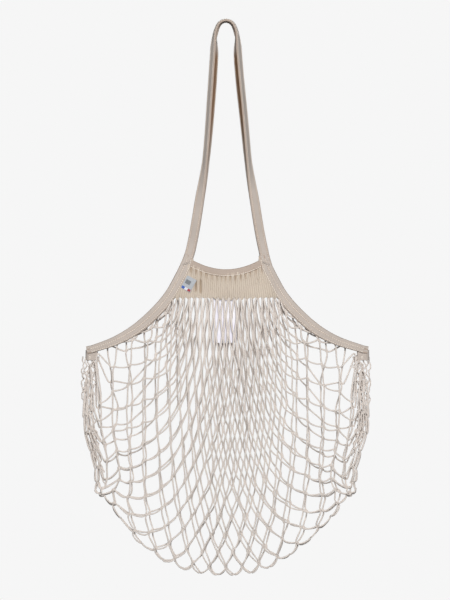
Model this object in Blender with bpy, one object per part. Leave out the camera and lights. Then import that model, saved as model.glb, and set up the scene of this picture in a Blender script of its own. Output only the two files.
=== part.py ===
"""Mesh produce bag: a knotless net bag with a ribbed yoke, bound edges and two long tape handles.

It hangs from a hook by both handles. Metres, +Z up, X across the bag, -Y is its front.
The origin is where the hook bears, at the underside of the handles' top bend.
"""

import itertools
import math

import bmesh
import bpy
import numpy as np

MM = 0.001
GAP = 0.3 * MM

# Handles
TAPE_WIDTH = 13 * MM
TAPE_THICK = 2.4 * MM
HANDLE_Y = 7.4 * MM
BEND_RADIUS = 15.6 * MM
HANDLE_BASE_Z = -293.4 * MM
HANDLE_BASE_X = 47.2 * MM
BACK_LOOP_INSET = 2.0 * MM
TWIST_TOP, TWIST_LEG = math.radians(88), math.radians(52)
# Middle line of a handle's leg above its base, in mm; the loop is inset from INSET_FROM upwards
HANDLE_FOOT = [(44, -280), (39.6, -256)]
HANDLE_LEG = [(34.2, -221), (26.2, -170), (20, -96), (16.4, -46)]
# Heights between which the tape turns out of the bag's plane, and on edge for the top bend
TWIST_FOOT_Z, TWIST_LEG_Z = -272 * MM, -185 * MM
TWIST_BEND_Z, TWIST_TOP_Z = -24 * MM, -3 * MM

# Yoke, collar and net: heights at the middle of the bag
COLLAR_SAG_Z = -312 * MM
COLLAR_END_X, COLLAR_END_Z = 41 * MM, -301.5 * MM
COLLAR_HEIGHT = 9.4 * MM
COLLAR_SLOT_DEPTH = 5.6 * MM
YOKE_BOTTOM_Z = -342 * MM
YOKE_THICK = 2.2 * MM
YOKE_END_HEIGHT = 0.6 * MM
YOKE_TUCK = 0.5 * MM
NET_THICK = 1.8 * MM
NET_END_X = 155 * MM
SPLIT_TOP_Z, SPLIT_BOTTOM_Z = -414 * MM, -424.5 * MM
BOTTOM_Z = -688.5 * MM
HALF_WIDTH = 180 * MM
OUTLINE_POWER = 2.4

# Half of the bag's depth: at the yoke, at the side corners and at its fullest
YOKE_DEPTH, CORNER_DEPTH, BELLY_DEPTH = 7 * MM, 3.2 * MM, 15 * MM
LOWER_BELLY = 18 * MM

# Side bindings: folded tape, outer edge from the handle base out to the corner
BINDING_WIDTH = 14 * MM
BINDING_OUTLINE = [(54, -294.6), (64, -315), (76, -336), (93, -356)]
BINDING_OUTLINE += [(115.5, -376), (140, -391.2), (166, -401.4)]
FOLD_THICK, FOLD_SLOT, SLOT_DEPTH = 3.8 * MM, 2.8 * MM, 9 * MM
PANEL_INSET = 8 * MM
CORNER_X = 178 * MM
CORNER_TOP_Z, CORNER_HEIGHT = -404.5 * MM, 18 * MM
CORNER_TAPE = 1.2 * MM
CORNER_BEND = CORNER_DEPTH + 1.6 * MM
CORNER_CLEARANCE = 0.6 * MM

# Joints
HANDLE_PIVOT_Y, HANDLE_PIVOT_Z = 9.6 * MM, -294 * MM
FLAP_PIVOT_Z = -410 * MM

# Labels
LABEL_SIZE = (12.3 * MM, 16.6 * MM, 0.5 * MM)
LABEL_TILT = math.radians(29)
LABEL_EDGE_X, LABEL_TOP_Z = -47.6 * MM, -315.5 * MM
CARE_X, CARE_WIDTH = -16 * MM, 29 * MM
CARE_TOP_Z, CARE_BOTTOM_Z, CARE_THICK = -324 * MM, -399 * MM, 0.5 * MM
LABEL_STANDOFF, LABEL_HINGE_OUT = 0.4 * MM, 0.9 * MM
CARE_STANDOFF = 2.2 * MM

# Thread
THREAD_WIDTH, THREAD_THICK = 1.1 * MM, 0.5 * MM
BINDING_SEAM_INSET, COLLAR_SEAM_INSET = 2.2 * MM, 1.6 * MM
BAR_TACK_X, BAR_TACK_Z = 49.6 * MM, -300 * MM
BAR_TACK_SIZE = (9 * MM, THREAD_THICK, 2.4 * MM)
BAR_TACK_TILT = math.radians(22)
CORNER_TACK_SIZE = (2 * MM, THREAD_THICK, 11 * MM)
CORNER_TACK_INSET = 3 * MM

COTTON = (0.66, 0.59, 0.52)
COLOURS = {
    "cotton_net": COTTON,
    "cotton_rib": (0.68, 0.61, 0.53),
    "cotton_tape": (0.58, 0.52, 0.47),
    "thread": (0.76, 0.71, 0.64),
    "label_weave": (0.42, 0.43, 0.45),
    "label_satin": (0.86, 0.85, 0.88),
}


def clear_scene():
    for obj in list(bpy.data.objects):
        bpy.data.objects.remove(obj, do_unlink=True)


def material(slot):
    found = bpy.data.materials.get(slot)
    if found:
        return found
    made = bpy.data.materials.new(slot)
    made.use_nodes = True
    shader = made.node_tree.nodes["Principled BSDF"]
    shader.inputs["Base Color"].default_value = (*COLOURS[slot], 1)
    shader.inputs["Roughness"].default_value = 0.9
    return made


def empty(name, place):
    pivot = bpy.data.objects.new(name, None)
    pivot.location = place
    bpy.context.collection.objects.link(pivot)
    return pivot


def add_object(name, slot, points, faces, pivot=None):
    """A mesh from world points, parented to its pivot so that its origin is on the joint's axis."""
    base = np.array(pivot.location) if pivot else np.zeros(3)
    mesh = bpy.data.meshes.new(name)
    mesh.from_pydata([tuple(np.array(p) - base) for p in points], [], faces)
    shell = bmesh.new()
    shell.from_mesh(mesh)
    bmesh.ops.recalc_face_normals(shell, faces=shell.faces)
    shell.to_mesh(mesh)
    shell.free()
    mesh.shade_smooth()
    mesh.set_sharp_from_angle(angle=math.radians(40))
    mesh.materials.append(material(slot))
    obj = bpy.data.objects.new(name, mesh)
    obj.parent = pivot
    bpy.context.collection.objects.link(obj)
    return obj


def loft(name, slot, rings, caps, pivot=None):
    """A closed solid through rings of equal length. Caps are quads of ring indices for both ends."""
    count = len(rings[0])
    points = [p for ring in rings for p in ring]
    faces = []
    for r in range(len(rings) - 1):
        for k in range(count):
            nxt = (k + 1) % count
            faces.append((r * count + k, r * count + nxt, (r + 1) * count + nxt, (r + 1) * count + k))
    last = (len(rings) - 1) * count
    for cap in caps:
        faces.append(tuple(cap))
        faces.append(tuple(last + k for k in reversed(cap)))
    return add_object(name, slot, points, faces, pivot)


def smooth_curve(points, count):
    """Points evenly spaced by arc length along a Catmull-Rom curve through the given points."""
    p = np.array(points, float)
    p = np.vstack([2 * p[0] - p[1], p, 2 * p[-1] - p[-2]])
    fine = []
    for k in range(1, len(p) - 2):
        for t in np.linspace(0, 1, 24, endpoint=False):
            a = 2 * p[k]
            b = (p[k + 1] - p[k - 1]) * t
            c = (2 * p[k - 1] - 5 * p[k] + 4 * p[k + 1] - p[k + 2]) * t**2
            d = (3 * p[k] - p[k - 1] - 3 * p[k + 1] + p[k + 2]) * t**3
            fine.append((a + b + c + d) / 2)
    fine.append(p[-2])
    fine = np.array(fine)
    run = np.concatenate([[0], np.cumsum(np.linalg.norm(np.diff(fine, axis=0), axis=1))])
    stops = np.linspace(0, run[-1], count)
    return np.stack([np.interp(stops, run, fine[:, k]) for k in range(fine.shape[1])], axis=1)


def half_depth(x, z):
    """Distance from the middle plane to a panel's mid-surface, above the side corners."""
    lens = CORNER_DEPTH + (BELLY_DEPTH - CORNER_DEPTH) * math.sqrt(max(0, 1 - (x / HALF_WIDTH) ** 2))
    t = min(1, max(0, (YOKE_BOTTOM_Z - z) / (YOKE_BOTTOM_Z - SPLIT_TOP_Z)))
    return YOKE_DEPTH * (1 - t) + lens * t


def in_plane_normals(path):
    """Unit vectors at right angles to a path in the XZ plane, pointing down and inwards."""
    along = np.gradient(path, axis=0)
    along /= np.linalg.norm(along, axis=1)[:, None]
    return np.stack([along[:, 1], -along[:, 0]], axis=1)


BINDING_PATH = smooth_curve(np.array(BINDING_OUTLINE) * MM, 26)
PANEL_EDGE = BINDING_PATH + in_plane_normals(BINDING_PATH) * PANEL_INSET


def panel_edge_z(x):
    """Height of the net's side edge, which lies inside the folded binding."""
    return float(np.interp(abs(x), PANEL_EDGE[:, 0], PANEL_EDGE[:, 1]))


def panel_edge_x(z):
    return float(np.interp(-z, -PANEL_EDGE[:, 1], PANEL_EDGE[:, 0]))


def collar_z(x):
    """Height of the collar's middle line: a shallow sag between the handles."""
    return COLLAR_SAG_Z + (COLLAR_END_Z - COLLAR_SAG_Z) * (abs(x) / COLLAR_END_X) ** 2


def panel(name, slot, side, thick, columns, rows, pivot):
    """A panel that follows the bag's depth. columns holds (x, top z, bottom z)."""
    rings = []
    for x, top, bottom in columns:
        heights = np.linspace(top, bottom, rows)
        front = [(x, side * (half_depth(x, z) + thick / 2), z) for z in heights]
        back = [(x, side * (half_depth(x, z) - thick / 2), z) for z in reversed(heights)]
        rings.append(front + back)
    caps = [(k, k + 1, 2 * rows - 2 - k, 2 * rows - 1 - k) for k in range(rows - 1)]
    return loft(name, slot, rings, caps, pivot)


def fold_ring(place, inward, width, slot_depth, side, mirror=1):
    """A tape folded over an edge: its outer edge is at place and its slot opens inwards."""
    outer, slot = FOLD_THICK / 2, FOLD_SLOT / 2
    floor = width - slot_depth
    section = [(0, outer), (width, outer), (width, slot), (floor, slot)]
    section += [(floor, -slot), (width, -slot), (width, -outer), (0, -outer)]
    ring = []
    for across, off in section:
        x, z = place[0] + inward[0] * across, place[1] + inward[1] * across
        ring.append((mirror * x, side * (half_depth(x, z) + off), z))
    return ring


FOLD_CAPS = [(0, 1, 2, 3), (0, 3, 4, 7), (7, 4, 5, 6)]
STRIP_CAPS = [(0, 1, 2, 3)]


def make_bindings(side, label, pivot):
    """The two folded tapes over one panel's side edges, each with its row of stitching."""
    normals = in_plane_normals(BINDING_PATH)
    for hand, mirror in (("left", -1), ("right", 1)):
        rings = [
            fold_ring(p, n, BINDING_WIDTH, SLOT_DEPTH, side, mirror)
            for p, n in zip(BINDING_PATH, normals)
        ]
        loft(f"{label}_{hand}_binding", "cotton_tape", rings, FOLD_CAPS, pivot)
        seam = BINDING_PATH[1:-1] + normals[1:-1] * (BINDING_WIDTH - BINDING_SEAM_INSET)
        thread_row(f"{label}_{hand}_binding_stitching", seam * (mirror, 1), side, pivot)


def thread_row(name, path, side, pivot):
    """A raised line of stitching on the outside of a folded tape."""
    normals = in_plane_normals(path)
    inner = FOLD_THICK / 2 + GAP
    outer = inner + THREAD_THICK
    rings = []
    for p, n in zip(path, normals):
        ring = []
        for across, off in ((-1, inner), (1, inner), (1, outer), (-1, outer)):
            x, z = p + n * across * THREAD_WIDTH / 2
            ring.append((x, side * (half_depth(x, z) + off), z))
        rings.append(ring)
    loft(name, "thread", rings, STRIP_CAPS, pivot)


def make_collar(side, label, pivot):
    xs = np.linspace(-COLLAR_END_X, COLLAR_END_X, 21)
    half = COLLAR_HEIGHT / 2
    rings = [
        fold_ring((x, collar_z(x) + half), (0, -1), COLLAR_HEIGHT, COLLAR_SLOT_DEPTH, side)
        for x in xs
    ]
    loft(f"{label}_collar", "cotton_tape", rings, FOLD_CAPS, pivot)
    line = np.array([(x, collar_z(x) - half + COLLAR_SEAM_INSET) for x in xs[1:-1]])
    thread_row(f"{label}_collar_stitching", line, side, pivot)


def make_yoke(side, label, pivot):
    """The gathered rib band: its top edge lies in the collar, its sides in the bindings."""
    bottom_x = panel_edge_x(YOKE_BOTTOM_Z)
    top_x = panel_edge_x(COLLAR_END_Z) - 1.5 * MM
    columns = []
    for x in np.linspace(-bottom_x, bottom_x, 25):
        top = collar_z(x) - YOKE_TUCK if abs(x) < top_x else panel_edge_z(x)
        columns.append((x, min(top, panel_edge_z(x)), YOKE_BOTTOM_Z))
    for end in (0, -1):
        columns[end] = (columns[end][0], YOKE_BOTTOM_Z + YOKE_END_HEIGHT, YOKE_BOTTOM_Z)
    panel(f"{label}_yoke", "cotton_rib", side, YOKE_THICK, columns, 6, pivot)


def make_upper_net(side, label, pivot):
    top = YOKE_BOTTOM_Z - GAP
    xs = np.linspace(-NET_END_X, NET_END_X, 33)
    columns = [(x, min(top, panel_edge_z(x)), SPLIT_TOP_Z) for x in xs]
    panel(f"{label}_upper_net", "cotton_net", side, NET_THICK, columns, 6, pivot)


def outline_point(turn, half_width, top, bottom):
    """A point of the net's lower outline: a superellipse from one side corner round to the other."""
    c, s = math.cos(turn), math.sin(turn)
    x = half_width * math.copysign(abs(c) ** (2 / OUTLINE_POWER), c)
    return x, top - (top - bottom) * abs(s) ** (2 / OUTLINE_POWER)


def pouch_layer(inset, columns, rows):
    """Front and back points of one layer of the pouch, column by column from the rim down."""
    front, back = [], []
    for turn in np.linspace(math.pi, 0, columns):
        x_low, z_low = outline_point(turn, HALF_WIDTH - inset, SPLIT_BOTTOM_Z, BOTTOM_Z + inset)
        x_top = (HALF_WIDTH - inset) * math.cos(turn)
        side_share = math.sqrt(max(0, 1 - (x_top / (HALF_WIDTH - inset)) ** 2))
        for v in np.linspace(0, 1, rows):
            x = x_top * (1 - v) + x_low * v
            z = SPLIT_BOTTOM_Z * (1 - v) + z_low * v
            swell = (LOWER_BELLY - BELLY_DEPTH) * math.sin(math.pi * v)
            belly = (BELLY_DEPTH + swell) * math.sqrt(1 - v**3)
            depth = max(0, (belly + NET_THICK / 2 - inset) * side_share)
            front.append((x, -depth, z))
            back.append((x, depth, z))
    return front, back


def make_lower_net():
    """The lower net: a thin pouch, open at the top, whose front and back meet at the bottom fold."""
    columns, rows = 37, 15
    points, index = [], {}

    def corner(layer, face, c, r):
        """Front and back share the points of the bottom fold and of the two side edges."""
        if r == rows - 1 or c in (0, columns - 1):
            face = 0
        key = (layer, face, c, r)
        if key not in index:
            index[key] = len(points)
            points.append(layers[layer][face][c * rows + r])
        return index[key]

    layers = [pouch_layer(0, columns, rows), pouch_layer(NET_THICK, columns, rows)]
    faces = []
    for layer in (0, 1):
        for face in (0, 1):
            for c in range(columns - 1):
                for r in range(rows - 1):
                    quad = [corner(layer, face, c, r), corner(layer, face, c, r + 1)]
                    quad += [corner(layer, face, c + 1, r + 1), corner(layer, face, c + 1, r)]
                    faces.append(quad)
    for face in (0, 1):
        for c in range(columns - 1):
            quad = [corner(0, face, c, 0), corner(0, face, c + 1, 0)]
            quad += [corner(1, face, c + 1, 0), corner(1, face, c, 0)]
            faces.append(quad)
    faces = [tuple(dict.fromkeys(f)) for f in faces]
    add_object("lower_net", "cotton_net", points, [f for f in faces if len(f) > 2])


def make_corner_folds():
    """Where a front binding turns round into the back one: a short upright U of flat tape."""
    start_x = BINDING_PATH[-1][0] + CORNER_CLEARANCE
    bend_x = CORNER_X - CORNER_BEND
    plan = [(start_x, -CORNER_BEND)]
    for a in np.linspace(-math.pi / 2, math.pi / 2, 9):
        plan.append((bend_x + CORNER_BEND * math.cos(a), CORNER_BEND * math.sin(a)))
    plan.append((start_x, CORNER_BEND))
    plan = np.array(plan)
    along = np.gradient(plan, axis=0)
    along /= np.linalg.norm(along, axis=1)[:, None]
    outwards = np.stack([along[:, 1], -along[:, 0]], axis=1) * CORNER_TAPE / 2
    top, low = CORNER_TOP_Z, CORNER_TOP_Z - CORNER_HEIGHT
    tack_y = -(CORNER_BEND + CORNER_TAPE / 2 + GAP + THREAD_THICK / 2)
    for hand, mirror in (("left", -1), ("right", 1)):
        rings = []
        for p, n in zip(plan, outwards):
            corners = ((p + n, top), (p + n, low), (p - n, low), (p - n, top))
            rings.append([(mirror * xy[0], xy[1], z) for xy, z in corners])
        loft(f"{hand}_corner_fold", "cotton_tape", rings, STRIP_CAPS)
        tack_x = mirror * (start_x + CORNER_TACK_INSET)
        tack_centre = (tack_x, tack_y, (top + low) / 2)
        block(f"{hand}_corner_tack", "thread", tack_centre, CORNER_TACK_SIZE)


def block(name, slot, centre, size, tilt=0, pivot=None):
    """A flat rectangular piece, turned by tilt about Y."""
    half = np.array(size) / 2
    c, s = math.cos(tilt), math.sin(tilt)
    points = []
    for signs in itertools.product((-1, 1), repeat=3):
        x, y, z = half * signs
        points.append((centre[0] + c * x + s * z, centre[1] + y, centre[2] - s * x + c * z))
    faces = [(0, 1, 3, 2), (4, 6, 7, 5), (0, 4, 5, 1), (2, 3, 7, 6), (0, 2, 6, 4), (1, 5, 7, 3)]
    add_object(name, slot, points, faces, pivot)


def make_bar_tacks(side, label, pivot):
    """Dense stitching that holds the handle's end to the binding, at each handle base."""
    out = half_depth(BAR_TACK_X, BAR_TACK_Z) + FOLD_THICK / 2 + GAP + THREAD_THICK / 2
    for hand, mirror in (("left", -1), ("right", 1)):
        centre = (mirror * BAR_TACK_X, side * out, BAR_TACK_Z)
        name = f"{label}_{hand}_bar_tack"
        block(name, "thread", centre, BAR_TACK_SIZE, -mirror * BAR_TACK_TILT, pivot)


def handle_route(inset):
    """Half of a handle's middle line, from its base up to the top bend, as (x, z)."""
    leg = [(HANDLE_BASE_X, HANDLE_BASE_Z)]
    leg += [(x * MM, z * MM) for x, z in HANDLE_FOOT]
    leg += [(x * MM - inset, z * MM) for x, z in HANDLE_LEG]
    bend = BEND_RADIUS - inset
    centre_z = TAPE_THICK / 2 - bend
    for turn in np.linspace(0, math.pi / 2, 6):
        leg.append((bend * math.cos(turn), centre_z + bend * math.sin(turn)))
    return smooth_curve(leg, 46)


def smooth_step(low, high, value):
    t = min(1, max(0, (value - low) / (high - low)))
    return t * t * (3 - 2 * t)


def handle_twist(z):
    """Turn of the tape about its own length: flat to the front at the base, on edge at the top."""
    leg = TWIST_LEG * smooth_step(TWIST_FOOT_Z, TWIST_LEG_Z, z)
    return leg + (TWIST_TOP - TWIST_LEG) * smooth_step(TWIST_BEND_Z, TWIST_TOP_Z, z)


def make_handle(side, label, inset, pivot):
    """One long loop of flat tape, from one end of the collar up over the hook and back down."""
    half = handle_route(inset)
    path = np.vstack([half * (-1, 1), half[-2::-1]])
    along = np.gradient(path, axis=0)
    along /= np.linalg.norm(along, axis=1)[:, None]
    rings = []
    for p, d in zip(path, along):
        twist = handle_twist(p[1])
        flat, lean = math.cos(twist), side * math.sin(twist)
        # Across the tape: along the loop's outward normal at the base, along Y at the top
        across = np.array([-d[1] * flat, -lean, d[0] * flat])
        through = np.array([-d[1] * lean, flat, d[0] * lean])
        centre = np.array([p[0], side * HANDLE_Y, p[1]])
        w, t = across * TAPE_WIDTH / 2, through * TAPE_THICK / 2
        corners = (centre - w - t, centre + w - t, centre + w + t, centre - w + t)
        rings.append([tuple(corner) for corner in corners])
    loft(f"{label}_handle", "cotton_tape", rings, STRIP_CAPS, pivot)


def make_woven_label():
    """A side-seam label, held by its edge next to the front left binding."""
    width, height, thick = LABEL_SIZE
    y = -(YOKE_DEPTH + YOKE_THICK / 2 + GAP + thick / 2 + LABEL_STANDOFF)
    pivot = empty("woven_label_pivot", (LABEL_EDGE_X, y - LABEL_HINGE_OUT, LABEL_TOP_Z))
    c, s = math.cos(LABEL_TILT), math.sin(LABEL_TILT)
    right, down = np.array([c, 0, -s]), np.array([-s, 0, -c])
    centre = np.array([LABEL_EDGE_X, y, LABEL_TOP_Z]) + right * width / 2 + down * height / 2
    block("woven_label", "label_weave", centre, (width, thick, height), LABEL_TILT, pivot)


def make_care_label():
    """A satin label that hangs inside the bag from the foot of the collar."""
    y = -(YOKE_DEPTH - YOKE_THICK / 2 - CARE_STANDOFF)
    pivot = empty("care_label_pivot", (CARE_X + CARE_WIDTH / 2, y, CARE_TOP_Z))
    centre = (CARE_X + CARE_WIDTH / 2, y, (CARE_TOP_Z + CARE_BOTTOM_Z) / 2)
    size = (CARE_WIDTH, CARE_THICK, CARE_TOP_Z - CARE_BOTTOM_Z)
    block("care_label", "label_satin", centre, size, pivot=pivot)


def build():
    clear_scene()
    make_lower_net()
    make_corner_folds()
    for side, label in ((-1, "front"), (1, "back")):
        flap = empty(f"{label}_flap_pivot", (0, 0, FLAP_PIVOT_Z))
        make_upper_net(side, label, flap)
        make_yoke(side, label, flap)
        make_collar(side, label, flap)
        make_bindings(side, label, flap)
        make_bar_tacks(side, label, flap)
        base = empty(f"{label}_handle_pivot", (0, side * HANDLE_PIVOT_Y, HANDLE_PIVOT_Z))
        make_handle(side, label, BACK_LOOP_INSET if side > 0 else 0, base)
    make_woven_label()
    make_care_label()


build()
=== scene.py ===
"""The looks of the mesh produce bag: a cotton net with a rib-knit yoke, bound edges and two
tape handles.

Every size is in metres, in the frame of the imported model: +Z up, -Y is the bag's front, and the
origin is where the hook bears. The net is relaxed as a hanging net of equal cords, then each cord
is drawn as its own tube.
"""

import math

import bpy
import numpy as np
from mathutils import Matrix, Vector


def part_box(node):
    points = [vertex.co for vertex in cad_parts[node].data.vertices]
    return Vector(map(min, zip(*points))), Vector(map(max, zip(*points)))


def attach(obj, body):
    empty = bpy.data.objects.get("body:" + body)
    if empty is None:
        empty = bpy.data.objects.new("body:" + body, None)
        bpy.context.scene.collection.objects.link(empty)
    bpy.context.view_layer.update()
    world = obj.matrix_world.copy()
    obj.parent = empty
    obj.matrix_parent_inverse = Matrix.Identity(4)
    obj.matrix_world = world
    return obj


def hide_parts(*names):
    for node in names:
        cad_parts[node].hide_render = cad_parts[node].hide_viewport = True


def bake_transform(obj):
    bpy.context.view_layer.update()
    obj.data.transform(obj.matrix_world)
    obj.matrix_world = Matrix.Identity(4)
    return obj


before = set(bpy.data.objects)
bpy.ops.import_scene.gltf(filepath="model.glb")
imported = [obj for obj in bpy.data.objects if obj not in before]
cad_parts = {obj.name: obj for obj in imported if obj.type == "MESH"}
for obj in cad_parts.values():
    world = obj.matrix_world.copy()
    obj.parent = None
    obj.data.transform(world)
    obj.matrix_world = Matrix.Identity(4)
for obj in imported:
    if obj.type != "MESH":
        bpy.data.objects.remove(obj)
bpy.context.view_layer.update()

MM = 0.001
SEED, RELAX_SEED = 7, 3


def mm(*values):
    """Millimetres, as metres."""
    return tuple(value * MM for value in values)


# Net: a diamond mesh, whose rows of joints run down the front, round the fold and up the back
COLUMNS, HALF_ROWS = 21, 16
ROWS, LAST = 2 * HALF_ROWS, 2 * COLUMNS
CORD_EDGE, CORD_RADIUS = mm(23.4, 0.97)
JOINT_HALF, CORD_EASE, CORD_MAX_BOW = 1.3 * MM, 0.4, 2.6 * MM
CORD_SIDES, EDGE_POINTS = 8, 9
CORD_END, TOP_THICKENING, THICK_DOWN = 2.5 * MM, 0.16, mm(15, 90)
NET_TOP_HALF, BINDING_NET_END = 67.5 * MM, 0.9
START_ROW, START_SIDE_DROP = mm(21.5, 60)
NET_OPENING, NET_STIFFNESS, CELL_WIDTH = 0.016, 0.045, 22 * MM
RELAX_STEPS, RELAX_ROUNDS, RELAX_FALL = 400, 12, 0.35 * MM
YOKE_DEPTH, CORNER_DEPTH, BELLY_DEPTH = mm(7, 3.2, 12.5)
SELVAGE_X, SELVAGE_OUT, SELVAGE_RISE, SELVAGE_DROP = mm(161.6, 15, 10.5, 16)

# Lower outline: a superellipse, a little higher on the right
ROUNDNESS, OUTLINE_INSET, OUTLINE_ENDS = 2.3, 4 * MM, mm(146, 166)
RIGHT_RISE, RIGHT_RISE_X, RIGHT_RISE_WIDTH = mm(7, 96, 38)

# The slack cells just under a binding ride higher than a plain hanging net's
HEM_LIFT, HEM_LIFT_X, HEM_LIFT_WIDTH = mm(17, 108, 30)
HEM_LIFT_DOWN, HEM_LIFT_ENDS = mm(0, 24), mm(45, 150)

# The cells beside the side edges hang lower. Each pair holds where a change starts and is
# complete: OUT from the middle, DOWN from the hem, ENDS below the corner
SIDE_DROP = 44 * MM
DROP_OUT, DROP_OUT_MORE = mm(95, 150), mm(140, 160)
DROP_DOWN, DROP_ENDS = mm(1, 26), mm(90, 190)

# Low down, the sides draw in: OUT from the middle, the other pairs below the hook
SIDE_SQUEEZE, SQUEEZE_OUT = 0.078, mm(90, 150)
SQUEEZE_FROM, SQUEEZE_ENDS = mm(495, 555), mm(566, 596)

# The back layer stands half a cell away from the front one near the bindings
BACK_SHIFT_X, BACK_SHIFT_Z = mm(10, 11)
SHIFT_OUT, SHIFT_ENDS, SHIFT_DOWN = mm(80, 125), mm(148, 166), mm(8, 45)
DEPTH_SCATTER, PLACE_SCATTER = mm(0.7, 0.45)

# Loose cords at the side edges. EDGE_LINE is (x, z) in mm
EDGE_CORDS, EDGE_BUNDLE, EDGE_BUNDLE_LOW = 6, 20 * MM, 3 * MM
EDGE_LINE = [(180, -413), (181.5, -440), (180.5, -468), (176, -496), (170, -524), (164, -550)]
EDGE_LINE += [(153, -590)]
EDGE_START, EDGE_STEP, EDGE_SIDE_GAP = mm(6, 1.6, 1.2)

# Tapes. The points of outlines and legs, here and below, are (x, z) in mm
TAPE_WIDTH, TAPE_THICK, BINDING_WIDTH, FOLD_THICK = mm(13, 2.4, 14, 3.8)
BINDING_NARROWING, BINDING_TOP_NARROWING, NET_TUCK = 0.32, 0.2, 2.5 * MM
BINDING_OUTLINE = [(51.6, -288), (54, -294.6), (64, -315), (76, -336), (93, -356)]
BINDING_OUTLINE += [(115.5, -376), (140, -391.2), (166, -401.4), (174.6, -403.6)]
SEAM_INSET, INNER_SEAM = mm(2.2, -1.2)
SEAM_DEPTH, SEAM_HALF, SEAM_TONE_HALF = mm(0.3, 0.45, 0.8)
CORNER_TAPE_SHORT, CORNER_TAPE_RISE, CORNER_TACK_HEIGHT = mm(5, 1.5, 3.3)
CORNER_TAPE_THICK, CORNER_BEND_INSET = mm(1.2, 0.6)
CORNER_TAPE_START, CORNER_TAPE_END = mm(6, 3.6)
RIGHT_REACH, REACH_OUT = 3.4 * MM, mm(120, 172)

# Handles. Each pair holds the heights where a change starts and is complete
HANDLE_Y, BACK_LOOP_INSET, BACK_BEND_INSET = 7.4 * MM, 3.4 * MM, 0.8
HANDLE_FOOT = [(51.4, -303), (47.6, -293.4), (43.9, -280), (39.2, -256)]
HANDLE_LEG = [(33.6, -221), (26.4, -170), (20.6, -96), (17, -46)]
HANDLE_BEND = [(16, -30), (14.8, -17), (12.6, -7.5), (9.2, -0.9), (5, 2.4), (0, 3.6)]
INSET_UP_MM = (-225, -120)
HANDLE_PINCH, PINCH_ENDS = 0.07, mm(-292, -262)
LEFT_LEG_LEAN, RIGHT_LEG_LEAN = mm(0.5, 2.1)
LEAN_FROM, LEAN_ENDS = mm(-310, -280), mm(-150, -30)
TWIST_TOP_LEAN, TWIST_LEG, TWIST_FOOT = math.radians(11), math.radians(63), 0.42
TWIST_FOOT_TURN, TWIST_LEG_TURN = mm(-303, -262), mm(-235, -165)
TWIST_TOP_TURN = mm(-34, -8)
# Painted shade on the handles' inner faces: where it fades in, and where it fades out
INNER_SHADE_FROM, INNER_SHADE_ENDS = mm(-205, -95), mm(-44, -26)
WAVE_DEPTH, WAVE_TURN = 0.25 * MM, 140

# Stitches
STITCH_PITCH, STITCH_LENGTH, STITCH_RADIUS = mm(2.7, 2.2, 0.5)
COLLAR_STITCH_PITCH, HANDLE_STITCH_RADIUS, TACK_RADIUS = mm(2.5, 0.28, 0.33)
STITCH_SINK = 0.12 * MM
STITCH_ARCH = np.sin(np.linspace(0, math.pi, 6))
STITCH_TAPER = np.array([0.55, 0.95, 1, 1, 0.95, 0.55])

# Yoke and collar. A crease is (x, low end, high end) in mm
RIBS, RIB_POINTS, YOKE_ROWS = 52, 8, 30
RIB_HEIGHT, YOKE_THICK, YOKE_UNDER_BINDING = mm(0.85, 2.0, 8)
GATHER_PITCH, GATHER_DEPTH, GATHER_FADE = mm(6.2, 1.3, 5.5)
YOKE_CREASES = [(-37.5, -337, -319), (-31.5, -339, -318)]
CREASE_DEPTH, CREASE_HALF = mm(1.6, 1.2)
HEM_TONGUE_MM = 2.4
COLLAR_HEIGHT, COLLAR_TONE, COLLAR_SEAM_INSET = 9.4 * MM, 0.26, 1.6 * MM

yoke_low, yoke_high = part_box("front_yoke")
collar_low, collar_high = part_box("front_collar")
fold_low, fold_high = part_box("right_corner_fold")
net_low, net_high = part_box("lower_net")
YOKE_Z, YOKE_HALF = yoke_low.z, yoke_high.x
COLLAR_X = collar_high.x
COLLAR_SAG_Z = collar_low.z + COLLAR_HEIGHT / 2
COLLAR_END_Z = collar_high.z - COLLAR_HEIGHT / 2
HALF_WIDTH, BOTTOM_Z, SPLIT_Z = net_high.x, net_low.z, net_high.z
CORNER_X, CORNER_Z = fold_high.x, fold_low.z


# ---- shapes shared by the pieces

def smooth_curve(points, count):
    """Points evenly spaced by arc length along a Catmull-Rom curve through the given points."""
    p = np.array(points, float)
    p = np.vstack([2 * p[0] - p[1], p, 2 * p[-1] - p[-2]])
    fine = []
    for k in range(1, len(p) - 2):
        for t in np.linspace(0, 1, 24, endpoint=False):
            a = 2 * p[k]
            b = (p[k + 1] - p[k - 1]) * t
            c = (2 * p[k - 1] - 5 * p[k] + 4 * p[k + 1] - p[k + 2]) * t**2
            d = (3 * p[k] - p[k - 1] - 3 * p[k + 1] + p[k + 2]) * t**3
            fine.append((a + b + c + d) / 2)
    fine.append(p[-2])
    fine = np.array(fine)
    run = np.concatenate([[0], np.cumsum(np.linalg.norm(np.diff(fine, axis=0), axis=1))])
    stops = np.linspace(0, run[-1], count)
    return stack(*[np.interp(stops, run, fine[:, k]) for k in range(fine.shape[1])])


def smooth_step(low, high, value):
    """0 up to low, 1 from high on, and smooth between them."""
    t = np.clip((np.asarray(value, float) - low) / (high - low), 0, 1)
    return t * t * (3 - 2 * t)


def fade_out(low, high, value):
    """1 up to low, 0 from high on, and smooth between them."""
    return 1 - smooth_step(low, high, value)


def bell(value, middle, width):
    """A bell curve, 1 at the middle."""
    return np.exp(-(((value - middle) / width) ** 2))


def stack(*parts):
    """Arrays side by side, along a new last axis."""
    return np.stack(parts, axis=-1)


def unit(vectors):
    length = np.linalg.norm(vectors, axis=-1, keepdims=True)
    return vectors / np.maximum(length, 1e-12)


def in_plane_normals(path):
    """Unit vectors at right angles to a path in the XZ plane, pointing down and inwards."""
    along = unit(np.gradient(path, axis=0))
    return stack(along[:, 1], -along[:, 0])


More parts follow.
